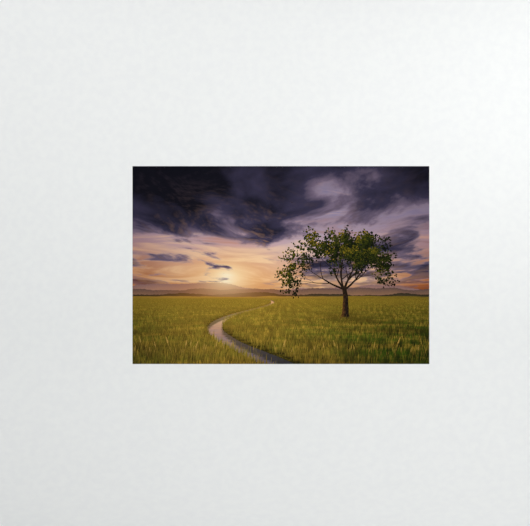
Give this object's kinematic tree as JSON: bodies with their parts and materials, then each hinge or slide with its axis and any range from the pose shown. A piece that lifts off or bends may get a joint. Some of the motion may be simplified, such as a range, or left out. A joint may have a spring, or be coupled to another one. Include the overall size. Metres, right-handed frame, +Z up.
{
  "type": "wall print",
  "caption": "Frameless landscape picture printed edge to edge on thin self-adhesive film, stuck flat on a wall.",
  "frame": {"origin": "middle of the sheet's back face, on the wall plane Y = 0", "axes": "+X along the picture's width to the viewer's right, +Z up the picture, +Y into the wall; the picture faces -Y"},
  "size_m": [0.6096, 0.0003, 0.4064],
  "materials": {
    "picture": "matte printed picture, dark clouded evening sky over grassland; the slot can be given any other picture",
    "film": "matte white film",
    "adhesive": "smooth clear tack coat over the white film, with fine air-release channels"
  },
  "bodies": {
    "root": {"printed_ink": "picture", "white_film": "film", "adhesive_coat": "adhesive"}
  },
  "joints": []
}
